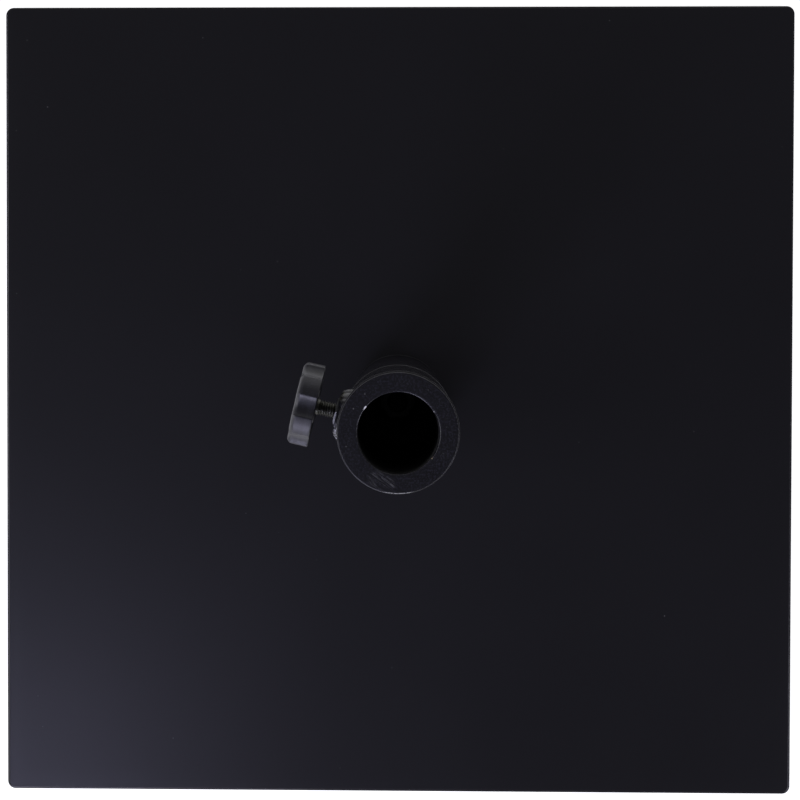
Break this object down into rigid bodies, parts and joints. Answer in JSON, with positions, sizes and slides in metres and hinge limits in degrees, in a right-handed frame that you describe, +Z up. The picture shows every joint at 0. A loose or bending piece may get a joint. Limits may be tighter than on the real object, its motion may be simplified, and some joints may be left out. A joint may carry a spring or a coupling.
{
  "type": "parasol base",
  "caption": "Square steel plate base with a central tube post, a flanged pole sleeve in its mouth and a side clamp screw with a star knob.",
  "frame": {"origin": "on the ground under the centre of the plate, level with the underside of the pads", "axes": "+Z up along the post's axis, X and Y along the sides of the plate; the clamp screw points 13 degrees from -X towards +Y"},
  "size_m": [0.5, 0.5, 0.344],
  "materials": {
    "black_powder_coat": "satin black powder coat",
    "insert_plastic": "matte black moulded plastic",
    "knob_plastic": "satin black moulded plastic",
    "screw_steel": "dark oiled thread",
    "plain_steel": "dark rolled tube",
    "black_oxide_steel": "black oxide",
    "pad_rubber": "matte",
    "pad_nylon": "black nylon"
  },
  "bodies": {
    "root": {"base_plate": "black_powder_coat", "foot_pad_left_back": "pad_rubber", "foot_pad_right_back": "pad_rubber", "foot_pad_right_front": "pad_rubber", "foot_pad_left_front": "pad_rubber", "post_end_disc": "black_powder_coat", "lower_tube": "black_powder_coat", "upper_tube": "black_powder_coat", "tube_coupling": "plain_steel", "end_disc_weld": "black_powder_coat", "post_end_nut": "black_powder_coat", "end_nut_weld": "black_powder_coat", "post_screw": "black_oxide_steel", "pole_insert": "insert_plastic", "clamp_nut": "black_powder_coat", "clamp_nut_weld": "black_powder_coat"},
    "pressure_pad": {"tip_pad": "pad_nylon"},
    "clamp_knob": {"clamp_screw": "screw_steel", "knob": "knob_plastic"}
  },
  "joints": [
    {"name": "screw_travel", "type": "slide", "parent": "root", "child": "pressure_pad", "axis": [-0.9744, 0.225, 0], "range_m": [-0.00875, 0.005]},
    {"name": "knob_turn", "type": "hinge", "parent": "pressure_pad", "child": "clamp_knob", "pos_m": [-0.04102, 0.00947, 0.281], "axis": [-0.9744, 0.225, 0], "range_deg": [-2520, 1440]}
  ],
  "couplings": [
    {"joint": "screw_travel", "follows": "knob_turn", "m_per_rad": 0.00019894}
  ]
}
